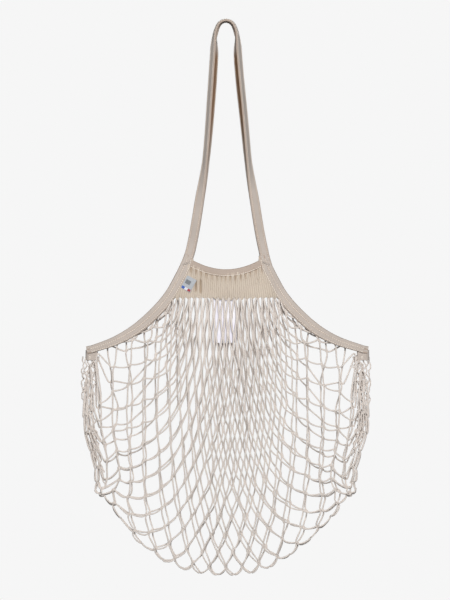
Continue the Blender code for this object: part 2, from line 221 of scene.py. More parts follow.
def half_depth(x, z):
    """Distance from the middle plane to a panel's mid-surface, above the side corners."""
    side_share = np.sqrt(np.maximum(0, 1 - (np.asarray(x, float) / HALF_WIDTH) ** 2))
    lens = CORNER_DEPTH + (BELLY_DEPTH - CORNER_DEPTH) * side_share
    t = np.clip((YOKE_Z - np.asarray(z, float)) / (YOKE_Z - SPLIT_Z), 0, 1)
    return YOKE_DEPTH * (1 - t) + lens * t


BINDING_PATH = smooth_curve(np.array(BINDING_OUTLINE) * MM, 110)
BINDING_INWARD = in_plane_normals(BINDING_PATH)
BINDING_SHARE = np.linspace(0, 1, len(BINDING_PATH))
BINDING_TAPER = 1 - BINDING_NARROWING * smooth_step(0.55, 1.0, BINDING_SHARE)
BINDING_TAPER -= BINDING_TOP_NARROWING * fade_out(0.0, 0.09, BINDING_SHARE)
BINDING_LOWER = BINDING_PATH + BINDING_INWARD * (BINDING_WIDTH * BINDING_TAPER - NET_TUCK)[:, None]
PANEL_EDGE = BINDING_PATH + BINDING_INWARD * YOKE_UNDER_BINDING


def collar_z(x):
    """Height of the collar's middle line: a shallow sag between the handles."""
    return COLLAR_SAG_Z + (COLLAR_END_Z - COLLAR_SAG_Z) * (np.abs(x) / COLLAR_X) ** 2


# ---- meshes

def new_object(name, data):
    obj = bpy.data.objects.new(name, data)
    bpy.context.scene.collection.objects.link(obj)
    return obj


class Mesh:
    """Collects rings of points into one mesh. Its UV map is in metres, along and around the
    rings, or around and along if it is turned."""

    def __init__(self, turned=False):
        self.points, self.faces, self.uvs, self.shades = [], [], [], []
        self.count, self.turned = 0, turned

    def add(self, rings, along, around, shade=0.0):
        """A capped tube through rings. along has one value a ring, and around has one more
        value than a ring has points."""
        rings = np.asarray(rings, float)
        rows, sides = rings.shape[:2]
        middle = rings.mean(axis=(0, 1))
        nxt = np.roll(rings, -1, axis=1)
        a, b, c = rings[:-1] - middle, nxt[:-1] - middle, nxt[1:] - middle
        volume = np.einsum("ijk,ijk->", a, np.cross(b, c))
        r, k = np.indices((rows - 1, sides))
        k2 = (k + 1) % sides
        quad = [r * sides + k, r * sides + k2, (r + 1) * sides + k2, (r + 1) * sides + k]
        u = stack(along[r], along[r], along[r + 1], along[r + 1])
        v = stack(around[k], around[k + 1], around[k + 1], around[k])
        uv = stack(u, v).reshape(-1, 4, 2)
        quad = stack(*quad).reshape(-1, 4) + self.count
        if volume < 0:
            quad, uv = quad[:, ::-1], uv[:, ::-1]
        self.faces += quad.tolist()
        self.uvs.append(uv.reshape(-1, 2))
        for row, reverse in ((0, volume > 0), (rows - 1, volume < 0)):
            loop = np.arange(sides)
            loop = loop[::-1] if reverse else loop
            self.faces.append((loop + row * sides + self.count).tolist())
            self.uvs.append(stack(np.full(sides, along[row]), around[loop]))
        self.points.append(rings.reshape(-1, 3))
        self.shades.append(np.broadcast_to(np.asarray(shade, float), (rows, sides)).ravel())
        self.count += rows * sides

    def build(self, name, material):
        mesh = bpy.data.meshes.new(name)
        mesh.from_pydata(np.concatenate(self.points).tolist(), [], self.faces)
        layer = mesh.uv_layers.new(name="UVMap")
        uvs = np.concatenate(self.uvs)[:, :: -1 if self.turned else 1]
        layer.data.foreach_set("uv", uvs.astype(np.float32).ravel())
        tint = mesh.attributes.new("shade", "FLOAT", "POINT")
        tint.data.foreach_set("value", np.concatenate(self.shades).astype(np.float32))
        mesh.shade_smooth()
        mesh.set_sharp_from_angle(angle=math.radians(60))
        mesh.materials.append(material)
        return new_object(name, mesh)


def make_piece(mesh, name, material, body, node):
    """A piece with its finish, which rides on its body and stands for its CAD node."""
    piece = mesh.build(name, material)
    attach(piece, body)
    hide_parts(node)
    return piece


def run_length(path):
    """Distance along a path at each of its points."""
    steps = np.linalg.norm(np.diff(path, axis=-2), axis=-1)
    zero = np.zeros(steps.shape[:-1] + (1,))
    return np.concatenate([zero, np.cumsum(steps, axis=-1)], axis=-1)


def tube_rings(path, radius, sides):
    """Rings around a path, turned as little as possible from one ring to the next."""
    along = unit(np.gradient(path, axis=0))
    first = np.cross(along[0], (0.2, 1, 0.1))  # any direction that no path starts in
    turns = np.linspace(0, 2 * math.pi, sides, endpoint=False)
    rings, normal = [], first / np.linalg.norm(first)
    for place, tangent, r in zip(path, along, np.broadcast_to(radius, len(path))):
        normal = normal - tangent * normal.dot(tangent)
        normal /= np.linalg.norm(normal)
        other = np.cross(tangent, normal)
        ring = np.outer(np.cos(turns), normal) + np.outer(np.sin(turns), other)
        rings.append(place + r * ring)
    return np.array(rings)


def add_tube(mesh, path, radius, sides):
    mesh.add(tube_rings(path, radius, sides), run_length(path), np.linspace(0, 1, sides + 1))


def tape_section(width, thick, grooves):
    """(across, through) points round a tape with rounded edges and pressed-in seams."""
    edge = thick / 2
    flat = np.linspace(-width / 2 + edge, width / 2 - edge, 25)
    dip = sum(SEAM_DEPTH * bell(flat, g, SEAM_HALF) for g in grooves)
    turns = np.linspace(math.pi / 2, -math.pi / 2, 7)[1:-1]
    right = stack(width / 2 - edge + edge * np.cos(turns), edge * np.sin(turns))
    top = stack(flat, edge - dip)
    return np.concatenate([top, right, top[::-1] * (1, -1), right[::-1] * (-1, 1)])


def seam_shade(section, grooves):
    """Darker tone in the seam lines and along the edges of a tape section."""
    across = section[:, 0]
    near = sum(bell(across, g, SEAM_TONE_HALF) for g in grooves)
    rim = smooth_step(0.84, 1.0, np.abs(across) / np.abs(across).max())
    return np.clip(0.5 * near + 0.36 * rim, 0, 1)


def tape_mesh(path, across, through, section, shade=0.0):
    """Sweeps a tape section along a path. across and through are vectors at each point."""
    rings = path[:, None] + section[None, :, :1] * across[:, None]
    rings = rings + section[None, :, 1:] * through[:, None]
    closed = np.vstack([section, section[:1]])
    mesh = Mesh()
    mesh.add(rings, run_length(path), run_length(closed), shade)
    return mesh


def add_stitches(mesh, path, outward, pitch=STITCH_PITCH, radius=STITCH_RADIUS):
    """A row of sewn stitches: short threads that dip into the cloth at both ends."""
    run = run_length(path)
    for start in np.arange(pitch / 2, run[-1] - pitch, pitch):
        stops = start + np.linspace(0, STITCH_LENGTH, 6)
        thread = stack(*[np.interp(stops, run, path[:, k]) for k in range(3)])
        out = np.array([np.interp(start, run, outward[:, k]) for k in range(3)])
        rise = radius * (1.1 * STITCH_ARCH - 0.5)
        add_tube(mesh, thread + np.outer(rise, out), radius * STITCH_TAPER, 6)


# ---- materials

def set_inputs(node, values):
    for name, value in values.items():
        node.inputs[name].default_value = value


class Graph:
    """Short calls for building a procedural material."""

    def __init__(self, name, roughness=0.9, sheen=0.08):
        self.material = bpy.data.materials.new(name)
        self.material.use_nodes = True
        self.tree = self.material.node_tree
        self.shader = self.tree.nodes["Principled BSDF"]
        set_inputs(self.shader, {"Roughness": roughness, "Sheen Weight": sheen,
                                 "Sheen Roughness": 0.6, "Specular IOR Level": 0.2})
        uv = self.node("ShaderNodeUVMap")
        uv.uv_map = "UVMap"
        split = self.node("ShaderNodeSeparateXYZ")
        self.tree.links.new(uv.outputs[0], split.inputs[0])
        self.along, self.around = split.outputs[0], split.outputs[1]
        self.place = self.node("ShaderNodeTexCoord").outputs["Object"]

    def node(self, kind):
        return self.tree.nodes.new(kind)

    def feed(self, socket, value):
        if isinstance(value, bpy.types.NodeSocket):
            self.tree.links.new(value, socket)
        else:
            socket.default_value = value

    def math(self, operation, *values):
        node = self.node("ShaderNodeMath")
        node.operation = operation
        for socket, value in zip(node.inputs, values):
            self.feed(socket, value)
        return node.outputs[0]

    def times(self, a, b):
        return self.math("MULTIPLY", a, b)

    def mul_add(self, a, b, c):
        return self.math("MULTIPLY_ADD", a, b, c)

    def noise(self, scale, detail, low=0.3, high=0.7):
        """Noise in the object's own space, stretched so that low..high becomes 0..1."""
        node = self.node("ShaderNodeTexNoise")
        self.feed(node.inputs["Vector"], self.place)
        set_inputs(node, {"Scale": scale, "Detail": detail})
        return self.spread(node.outputs["Fac"], low, high)

    def spread(self, value, low, high, to_low=0.0, to_high=1.0):
        node = self.node("ShaderNodeMapRange")
        for socket, item in zip(node.inputs, (value, low, high, to_low, to_high)):
            self.feed(socket, item)
        return node.outputs[0]

    def shade(self):
        """The tone that the mesh carries in its shade attribute."""
        node = self.node("ShaderNodeAttribute")
        node.attribute_name = "shade"
        return node.outputs["Fac"]

    def mix(self, share, first, second):
        node = self.node("ShaderNodeMix")
        node.data_type = "RGBA"
        self.feed(node.inputs["Factor"], share)
        for socket, colour in ((6, first), (7, second)):
            self.feed(node.inputs[socket], (*colour, 1) if isinstance(colour, tuple) else colour)
        return node.outputs[2]

    def wave(self, value, pitch):
        """0 to 1 and back once every pitch of value."""
        turn = self.times(value, 2 * math.pi / pitch)
        return self.mul_add(self.math("SINE", turn), 0.5, 0.5)

    def knit(self, half_wale, slope, pitch):
        """V-shaped stitches down each wale."""
        wale = self.math("PINGPONG", self.around, half_wale)
        return self.wave(self.mul_add(wale, slope, self.along), pitch)

    def plies(self, turn):
        """A round ridge for each whole turn."""
        return self.math("ABSOLUTE", self.math("SINE", self.times(turn, math.pi)))

    def finish(self, colour, height, distance):
        self.feed(self.shader.inputs["Base Color"], colour)
        bump = self.node("ShaderNodeBump")
        set_inputs(bump, {"Strength": 1.0, "Distance": distance})
        self.feed(bump.inputs["Height"], height)
        self.feed(self.shader.inputs["Normal"], bump.outputs[0])
        return self.material


def cotton_colour(graph, tones, groove):
    """Unbleached cotton: soft patches, fibre mottling and seed flecks, with painted shade in the
    grooves.
    """
    light, mid, shade_and_fleck_tone = tones
    patches = graph.noise(22, 2)
    fibres = graph.noise(900, 4)
    tone = graph.mul_add(fibres, 0.45, graph.times(patches, 0.55))
    colour = graph.mix(tone, mid, light)
    # Painted shade: the grooves are darkened toward the deep tone, which the seed flecks below
    # share
    colour = graph.mix(graph.times(groove, 0.55), colour, shade_and_fleck_tone)
    flecks = graph.noise(420, 1, 0.70, 0.76)
    return graph.mix(graph.times(flecks, 0.35), colour, shade_and_fleck_tone)


def cord_material():
    """Soft two-ply cotton cord: plies wind round it, with fibres along them."""
    graph = Graph("cotton_cord_look")
    ply_pitch = 3.4 * MM
    turn = graph.mul_add(graph.along, 1 / ply_pitch, graph.times(graph.around, 2.0))
    ply = graph.plies(turn)
    yarn = graph.wave(turn, pitch=0.17)
    height = graph.mul_add(yarn, 0.12, ply)
    height = graph.mul_add(graph.noise(1400, 2), 0.25, height)
    groove = graph.spread(ply, 0.0, 0.55, 1.0, 0.0)
    shaded = graph.math("MAXIMUM", graph.times(groove, 0.5), graph.shade())
    tones = (0.735, 0.665, 0.61), (0.63, 0.565, 0.515), (0.37, 0.305, 0.255)
    colour = cotton_colour(graph, tones, shaded)
    return graph.finish(colour, height, 0.22 * MM)


def tape_material():
    """Fine knitted tape: wales run along it, and each is a column of slanted stitches."""
    graph = Graph("cotton_tape_look")
    stitch = graph.knit(half_wale=0.55 * MM, slope=1.1, pitch=0.95 * MM)
    column = graph.wave(graph.around, pitch=1.1 * MM)
    height = graph.mul_add(stitch, 0.45, graph.times(column, 0.55))
    height = graph.mul_add(graph.noise(1300, 2), 0.3, height)
    groove = graph.times(graph.spread(height, 0.25, 0.75, 1.0, 0.0), 0.5)
    tones = (0.56, 0.49, 0.435), (0.47, 0.41, 0.365), (0.26, 0.19, 0.14)
    # Painted shade: the shade attribute mixes toward this brown on the handles' inner faces, in the
    # seam lines and along the tape edges. The collar's steady darker tone mixes toward it as well.
    painted_shade = (0.30, 0.165, 0.085)
    colour = cotton_colour(graph, tones, groove)
    colour = graph.mix(graph.shade(), colour, painted_shade)
    return graph.finish(colour, height, 0.16 * MM)


def rib_material():
    """Rib knit: rows of V-shaped stitches down each rib."""
    graph = Graph("cotton_rib_look")
    stitch = graph.knit(half_wale=0.85 * MM, slope=0.9, pitch=1.25 * MM)
    height = graph.mul_add(graph.noise(1200, 2), 0.3, stitch)
    groove = graph.times(graph.spread(stitch, 0.1, 0.6, 1.0, 0.0), 0.25)
    tones = (0.67, 0.585, 0.49), (0.575, 0.49, 0.405), (0.24, 0.15, 0.085)
    # Painted shade: the yoke's shade attribute mixes toward this tan in its gathers, creases and
    # rib grooves
    crease_shade = (0.27, 0.175, 0.10)
    colour = cotton_colour(graph, tones, groove)
    colour = graph.mix(graph.times(graph.shade(), 0.62), colour, crease_shade)
    return graph.finish(colour, height, 0.18 * MM)


def thread_material():
    graph = Graph("sewing_thread_look", 0.7, 0.15)
    ply_pitch = 0.9 * MM
    turn = graph.mul_add(graph.along, 1 / ply_pitch, graph.around)
    ply = graph.plies(turn)
    groove = graph.times(graph.spread(ply, 0.0, 0.5, 1.0, 0.0), 0.6)
    tones = (0.83, 0.76, 0.68), (0.75, 0.68, 0.60), (0.45, 0.37, 0.29)
    colour = cotton_colour(graph, tones, groove)
    return graph.finish(colour, ply, 0.08 * MM)


def between(graph, value, low, high):
    """1 where low < value < high, and 0 elsewhere."""
    above = graph.math("GREATER_THAN", value, low)
    return graph.times(above, graph.math("LESS_THAN", value, high))


def woven_label_material(width, height):
    """Grey damask with a plain dark patch and three short colour bars, in place of any mark."""
    graph = Graph("label_weave_look", 0.6, 0.1)
    across, down = graph.around, graph.along
    warp, weft = graph.wave(across, 0.5 * MM), graph.wave(down, 0.42 * MM)
    weave = graph.times(warp, weft)
    grain = graph.noise(1500, 2)
    colour = graph.mix(grain, (0.36, 0.375, 0.395), (0.48, 0.495, 0.515))
    patch = graph.times(between(graph, across, 0.12 * width, 0.62 * width),
                       between(graph, down, 0.26 * height, 0.56 * height))
    colour = graph.mix(graph.times(patch, 0.75), colour, (0.10, 0.105, 0.11))
    foot = between(graph, down, 0.80 * height, 0.97 * height)
    for low, high, tint in ((0.04, 0.34, (0.03, 0.10, 0.42)), (0.34, 0.66, (0.72, 0.71, 0.76)),
                            (0.66, 0.95, (0.36, 0.02, 0.03))):
        bar = graph.times(foot, between(graph, across, low * width, high * width))
        colour = graph.mix(graph.times(bar, 0.95), colour, tint)
    colour = graph.mix(graph.times(weave, 0.18), colour, (0.16, 0.16, 0.17))
    return graph.finish(colour, weave, 0.06 * MM)


def satin_label_material():
    graph = Graph("label_satin_look", 0.45, 0.2)
    float_thread = graph.wave(graph.along, 0.38 * MM)
    ends = graph.wave(graph.around, 0.6 * MM)
    height = graph.mul_add(ends, 0.3, float_thread)
    colour = graph.mix(graph.noise(60, 2), (0.74, 0.72, 0.82), (0.86, 0.85, 0.88))
    colour = graph.mix(graph.times(float_thread, 0.12), colour, (0.55, 0.53, 0.62))
    return graph.finish(colour, height, 0.04 * MM)


# ---- net

def pin_net(place, pinned):
    """Fixes the joints that are sewn to a yoke, a binding or a corner. place holds (x, z)."""
    first = np.interp(-YOKE_Z, -BINDING_LOWER[:, 1], BINDING_SHARE)
    attached = HALF_ROWS // 4
    for row, step, lead in ((0, 1, 0.25), (ROWS, -1, 0.75)):
        for j in range(2, LAST - 1, 2):
            share = (j - 2) / (LAST - 4)
            place[row, j] = (-NET_TOP_HALF + 2 * NET_TOP_HALF * share, YOKE_Z - 0.5 * MM)
            pinned[row, j] = True
        for i in range(0, HALF_ROWS + 1, 2):
            if i < 2 * attached:
                share = first + (BINDING_NET_END - first) * (i / 2 + lead) / attached
                at = [np.interp(share, BINDING_SHARE, BINDING_LOWER[:, k]) for k in (0, 1)]
            else:
                shift = 2 * (lead - 0.25)
                share = (i - 2 * attached + shift) / (HALF_ROWS - 2 * attached + shift)
                at = [SELVAGE_X + SELVAGE_OUT * share**0.7,
                      CORNER_Z + SELVAGE_RISE - SELVAGE_DROP * share]
            for j, hand in ((0, -1), (LAST, 1)):
                place[row + step * i, j] = (hand * at[0], at[1])
                pinned[row + step * i, j] = True


def relax_net():
    """(x, z) of each joint, from letting a diamond net of equal cords hang from its pins."""
    place = np.zeros((ROWS + 1, LAST + 1, 2))
    pinned = np.zeros((ROWS + 1, LAST + 1), bool)
    rows, columns = np.indices((ROWS + 1, LAST + 1))
    down = np.minimum(rows, ROWS - rows)
    across = columns / COLUMNS - 1
    widest = NET_TOP_HALF + (CORNER_X - NET_TOP_HALF) * np.minimum(1, 1.6 * down / HALF_ROWS)
    place[..., 0] = across * widest
    drop = START_ROW * down * (1 - 0.25 * across**2)
    place[..., 1] = YOKE_Z - drop - START_SIDE_DROP * np.abs(across) ** 3
    pin_net(place, pinned)
    used = (rows + columns) % 2 == 0
    number = rows * (LAST + 1) + columns

    def pairs(select, row_step, column_step):
        """Joints to pair with the one row_step and column_step away, where both are in the net."""
        r, c = rows[select & used], columns[select & used]
        inside = (r + row_step <= ROWS) & (c + column_step <= LAST) & (c + column_step >= 0)
        r, c = r[inside], c[inside]
        return number[r, c], number[r + row_step, c + column_step]

    cords = [pairs(rows % 2 == half, 1, way) for half in (0, 1) for way in (1, -1)]
    openers = [pairs((rows % 2 == half) & (columns // 2 % 2 == turn), 0, 2)
               for half in (0, 1) for turn in (0, 1)]
    runs = []
    for way in (1, -1):
        for third in range(3):
            a, b = pairs(rows % 3 == third, 1, way)
            onward = columns.ravel()[b] + way
            inside = (rows.ravel()[b] < ROWS) & (onward <= LAST) & (onward >= 0)
            a, b = a[inside], b[inside]
            runs.append((a, b, b + (LAST + 1) + way))
    rng = np.random.default_rng(RELAX_SEED)
    lengths = [CORD_EDGE * (1 + 0.02 * rng.standard_normal(len(a)).clip(-2, 2)) for a, b in cords]
    now = place.reshape(-1, 2).copy()
    free = np.where(pinned.ravel(), 0.0, 1.0)[:, None]
    before = now.copy()
    fall = np.array([0, -RELAX_FALL])

    def pull(a, b, rest, share_long, share_short):
        """Moves a and b to their rest distance, by one share if too long, another if too short."""
        gap = now[b] - now[a]
        length = np.linalg.norm(gap, axis=1, keepdims=True) + 1e-9
        rest = np.broadcast_to(rest, len(a))[:, None]
        over = np.where(length > rest, (length - rest) * share_long, (length - rest) * share_short)
        weight = np.maximum(free[a] + free[b], 1)
        move = over / length / weight * gap
        now[a] += move * free[a]
        now[b] -= move * free[b]

    for step in range(RELAX_STEPS):
        damping = 0.97 if step < 0.6 * RELAX_STEPS else 0.9
        now, before = now + (now - before) * damping + fall * free, now
        short = 0.05 if step > 0.3 * RELAX_STEPS else 0.0
        for _ in range(RELAX_ROUNDS):
            for (a, b), rest in zip(cords, lengths):
                pull(a, b, rest, 1.0, short)
            for a, b in openers:
                pull(a, b, CELL_WIDTH, 0.0, NET_OPENING)
            for a, b, c in runs:
                off = (now[a] + now[c]) / 2 - now[b]
                now[b] += off * NET_STIFFNESS * free[b]
                now[a] -= off * NET_STIFFNESS / 2 * free[a]
                now[c] -= off * NET_STIFFNESS / 2 * free[c]
    return now.reshape(ROWS + 1, LAST + 1, 2)


def lower_outline(x):
    """Height of the net's bottom edge at x: round, a little higher on the right."""
    share = np.clip(np.abs(x) / (HALF_WIDTH - OUTLINE_INSET), 0, 1)
    edge = SPLIT_Z + (BOTTOM_Z - SPLIT_Z) * (1 - share**ROUNDNESS) ** (1 / ROUNDNESS)
    return edge + RIGHT_RISE * bell(x, RIGHT_RISE_X, RIGHT_RISE_WIDTH)


def net_joints():
    """Places of the joints in space, from the front yoke round the fold to the back one."""
    flat = relax_net()
    fold = flat[HALF_ROWS, ::2]
    order = np.argsort(fold[:, 0])
    x, z = flat[..., 0], flat[..., 1]
    hung = np.interp(x, fold[order, 0], fold[order, 1])
    depth_share = np.clip((YOKE_Z - z) / np.maximum(YOKE_Z - hung, 1 * MM), 0, 1)
    z = z + (lower_outline(x) - hung) * depth_share**2 * fade_out(*OUTLINE_ENDS, np.abs(x))
    hem = np.interp(np.abs(x), BINDING_LOWER[:, 0], BINDING_LOWER[:, 1])
    below = hem - z
    near_hem = smooth_step(*HEM_LIFT_DOWN, below) * fade_out(*HEM_LIFT_ENDS, below)
    z = z + HEM_LIFT * near_hem * bell(np.abs(x), HEM_LIFT_X, HEM_LIFT_WIDTH)
    dropped = smooth_step(*DROP_DOWN, hem - z) * fade_out(*DROP_ENDS, CORNER_Z - z)
    outward = smooth_step(*DROP_OUT, np.abs(x)) + smooth_step(*DROP_OUT_MORE, np.abs(x))
    z = z - SIDE_DROP / 2 * outward * dropped
    squeezed = smooth_step(*SQUEEZE_FROM, -z) * fade_out(*SQUEEZE_ENDS, -z)
    x = x * (1 - SIDE_SQUEEZE * squeezed * smooth_step(*SQUEEZE_OUT, np.abs(x)))
    rows = np.arange(ROWS + 1)[:, None]
    beside = smooth_step(*SHIFT_OUT, np.abs(x)) * fade_out(*SHIFT_ENDS, np.abs(x))
    shifted = (rows > HALF_ROWS) * beside * smooth_step(*SHIFT_DOWN, below)
    shifted = shifted * fade_out(0.4, 0.72, depth_share)
    x = x - BACK_SHIFT_X * shifted * np.sign(x)
    z = z - BACK_SHIFT_Z * shifted
    turn = 1 - np.abs(rows - HALF_ROWS) / HALF_ROWS
    widest = np.abs(x).max(axis=1, keepdims=True)
    side_share = np.sqrt(np.maximum(0, 1 - (x / (widest + 1 * MM)) ** 2)) ** 0.8
    belly = YOKE_DEPTH + (BELLY_DEPTH - YOKE_DEPTH) * smooth_step(0, 0.12, turn)
    fold_round = np.sqrt(np.maximum(0, 1 - turn**4))
    depth = (CORNER_DEPTH + (belly - CORNER_DEPTH) * side_share) * fold_round
    depth = np.where(turn < 0.03, YOKE_DEPTH, depth)
    rng = np.random.default_rng(SEED)
    loose = smooth_step(0, 0.15, turn) * smooth_step(0, 0.1, 1 - turn)
    y = np.where(rows < HALF_ROWS, -depth, depth) + rng.normal(0, DEPTH_SCATTER, x.shape) * loose
    x = x + rng.normal(0, PLACE_SCATTER, x.shape) * loose
    z = z + rng.normal(0, PLACE_SCATTER, x.shape) * loose
    return stack(x, y, z)


def joint_directions(joints):
    """Unit vectors at each joint: down the net from front to back, and across it to the right."""
    down = np.zeros_like(joints)
    right = np.zeros_like(joints)
    for i in range(ROWS + 1):
        for j in range(i % 2, LAST + 1, 2):
            low = [joints[i + 1, k] for k in (j - 1, j + 1) if i < ROWS and 0 <= k <= LAST]
            high = [joints[i - 1, k] for k in (j - 1, j + 1) if i > 0 and 0 <= k <= LAST]
            below = np.mean(low, axis=0) if low else 2 * joints[i, j] - np.mean(high, axis=0)
            above = np.mean(high, axis=0) if high else 2 * joints[i, j] - np.mean(low, axis=0)
            down[i, j] = below - above
            left_end, right_end = max(j - 2, i % 2), min(j + 2, LAST - i % 2)
            right[i, j] = joints[i, right_end] - joints[i, left_end]
    down[0], down[ROWS] = (0, 0, -1), (0, 0, 1)
    down = unit(down)
    right -= down * (right * down).sum(axis=-1, keepdims=True)
    return down, unit(right)


def cord_path(joints, down, right, k, first, last, rng):
    """Cord k from row first to row last. It zigzags between the joints of columns k and k + 1."""
    rows = np.arange(first, last + 1)
    columns = np.where((rows + k) % 2 == 0, k, k + 1)
    hand = np.where(columns == k, 1.0, -1.0)[:, None]
    middle = joints[rows, columns] + right[rows, columns] * hand * CORD_RADIUS * 0.9
    along = down[rows, columns]
    enter, leave = middle - along * JOINT_HALF, middle + along * JOINT_HALF
    t = np.linspace(0, 1, EDGE_POINTS + 2)[1:-1, None]
    points = [middle[:1] - along[:1] * CORD_END] if first == 0 else []
    for n in range(len(rows)):
        if n > 0 or first == 0:
            points.append(enter[n : n + 1])
        points.append(middle[n : n + 1])
        if n == len(rows) - 1:
            break
        points.append(leave[n : n + 1])
        chord = enter[n + 1] - leave[n]
        length = np.linalg.norm(chord)
        a, b = along[n] * length * CORD_EASE, along[n + 1] * length * CORD_EASE
        curve = (2 * t**3 - 3 * t**2 + 1) * leave[n] + (t**3 - 2 * t**2 + t) * a
        curve = curve + (3 * t**2 - 2 * t**3) * enter[n + 1] + (t**3 - t**2) * b
        slack = max(0.0, CORD_EDGE - 2 * JOINT_HALF - length)
        bow = min(CORD_MAX_BOW, math.sqrt(0.3 * max(length, 1 * MM) * slack))
        heavy = np.array([0, 0, -1.0]) + chord * chord[2] / max(length**2, 1e-9)
        sway = heavy + rng.normal(0, 0.35, 3)
        points.append(curve + bow * 4 * t * (1 - t) * sway / max(np.linalg.norm(sway), 1))
    if last == ROWS:
        points += [leave[-1:], middle[-1:] + along[-1:] * CORD_END]
    return np.concatenate(points)


def make_nets(material):
    joints = net_joints()
    down, right = joint_directions(joints)
    rng = np.random.default_rng(SEED + 1)
    for side, first, last in (("front", 0, HALF_ROWS), ("back", HALF_ROWS, ROWS)):
        mesh = Mesh()
        for k in range(LAST):
            path = cord_path(joints, down, right, k, first, last, rng)
            thickness = CORD_RADIUS * (1 + 0.07 * np.sin(np.arange(len(path)) * 0.9 + k * 1.7))
            thickness *= 1 + TOP_THICKENING * fade_out(*THICK_DOWN, YOKE_Z - path[:, 2])
            add_tube(mesh, path, thickness, CORD_SIDES)
        net = mesh.build(f"{side}_net", material)
        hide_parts(f"{side}_upper_net", "lower_net")
        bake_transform(net)


def make_edge_cords(hand, mirror, material):
    """The net's gathered side edge: slack cords that hang from a corner tape in one wavy bundle."""
    line = np.array(EDGE_LINE) * MM
    rng = np.random.default_rng(SEED + 20 + mirror)
    mesh = Mesh()
    for n in range(EDGE_CORDS):
        share = n / (EDGE_CORDS - 1)
        end = CORNER_Z - (60 + 105 * rng.random() ** 0.8) * MM
        if n % 4 == 3:  # a short one
            end = CORNER_Z - (30 + 25 * rng.random()) * MM
        count = int((CORNER_Z + EDGE_START - end) / EDGE_STEP)
        level = np.linspace(CORNER_Z + EDGE_START, end, count)
        fall = CORNER_Z + EDGE_START - level
        spread = EDGE_BUNDLE_LOW + (EDGE_BUNDLE - EDGE_BUNDLE_LOW) * np.exp(-fall / (85 * MM))
        wave, phase = rng.uniform(13, 24) * MM, rng.uniform(0, 6.3, 3)
        swing = (1.9 + 0.8 * share) * MM * smooth_step(0, 12 * MM, fall)
        swing = swing * np.exp(-fall / (150 * MM))
        slow, fast = np.sin(fall * 6.3 / wave + phase[0]), np.sin(fall * 14 / wave + phase[1])
        side = np.interp(-level, -line[:, 1], line[:, 0]) - EDGE_SIDE_GAP - spread * share
        side = side + swing * (slow + 0.5 * fast)
        depth = 3.4 * MM * math.cos(n * 2.4) + 1.2 * MM * np.sin(fall * 6.3 / wave + phase[2])
        side = np.minimum(side, CORNER_X + 2.2 * MM)
        add_tube(mesh, stack(mirror * side, depth, level), CORD_RADIUS * 0.88, CORD_SIDES)
    make_piece(mesh, f"{hand}_edge_cords", material, "bag_body", "lower_net")


# ---- yoke, collar, bindings

def make_yoke(side, label, material):
    """The gathered rib band between collar and net, as one ribbed sheet."""
    columns = RIBS * RIB_POINTS + 1
    xs = np.linspace(-YOKE_HALF, YOKE_HALF, columns)
    edge = np.interp(np.abs(xs), PANEL_EDGE[:, 0], PANEL_EDGE[:, 1])
    top = np.minimum(np.where(np.abs(xs) < COLLAR_X, collar_z(xs), 1), edge)
    pitch = 2 * YOKE_HALF / RIBS
    share = np.linspace(0, 1, YOKE_ROWS)
    z = top[:, None] + (YOKE_Z - top[:, None]) * share[None, :]
    x = np.repeat(xs[:, None], YOKE_ROWS, axis=1)
    drawn_in = 1 - 0.10 * np.clip((z - YOKE_Z) / (COLLAR_SAG_Z - YOKE_Z), 0, 1.3)
    rib = np.abs(np.cos(math.pi * (x / drawn_in) / pitch)) ** 0.7
    collar_foot = collar_z(np.abs(x).clip(0, COLLAR_X)) - COLLAR_HEIGHT / 2 - 1 * MM
    under = np.clip(collar_foot - z, 0, 1)
    # Slow waves, so that no two gathers look the same
    wander = 0.9 * MM * np.sin(x * 95) + 0.6 * MM * np.sin(x * 210 + 1)
    gather = (0.5 + 0.5 * np.cos(2 * math.pi * (x + wander) / GATHER_PITCH)) ** 2
    gather = gather * bell(under, 0, GATHER_FADE) * (0.55 + 0.45 * np.sin(x * 61 + 0.8) ** 2)
    # Painted shade in the gathers under the collar and in the creases, carried by the shade
    # attribute
    crease_shade = gather.copy()
    height = RIB_HEIGHT * rib - GATHER_DEPTH * gather
    for place, low, high in YOKE_CREASES if side < 0 else ():
        run = smooth_step(*mm(low, low + 5), z) * fade_out(*mm(high - 4, high), z)
        groove = bell(x, place * MM, CREASE_HALF) * run
        height -= CREASE_DEPTH * groove
        crease_shade = np.maximum(crease_shade, 1.5 * groove)
    height += 0.5 * MM * np.sin(x * 130 + z * 40) * np.exp(-under / (14 * MM))
    strand = 0.5 + 0.5 * np.cos(2 * math.pi * (x - NET_TOP_HALF) / (NET_TOP_HALF / 10))
    tongue = 0.5 * rib + HEM_TONGUE_MM * strand * (1 + 0.6 * np.sin(x * 77 + 1))
    z = z - tongue * MM * share[None, :] ** 6
    level = half_depth(x, z)
    outer = stack(x, side * (level + YOKE_THICK / 2 + height), z)
    inner = stack(x, side * (level - YOKE_THICK / 2 + 0.4 * height), z)
    rings = np.concatenate([outer, inner[:, ::-1]], axis=1)
    # Painted shade: darker in the gathers and creases and between the ribs, weaker on the inner
    # face
    shade = [1.1 * crease_shade + 0.75 * (1 - rib) ** 2, 0.5 * crease_shade[:, ::-1]]
    middle = z[columns // 2]
    mesh = Mesh(turned=True)
    mesh.add(rings, xs, np.concatenate([middle, middle[::-1], middle[:1]]),
             np.clip(np.concatenate(shade, axis=1), 0, 1))
    yoke = make_piece(mesh, f"{label}_rib_yoke", material, f"{label}_flap",
                      f"{label}_yoke")


def lay_on_panel(path, side, lift):
    """A path in the XZ plane set at lift above the panel's mid-surface."""
    x, z = path[:, 0], path[:, 1]
    return stack(x, side * (half_depth(x, z) + lift), z)


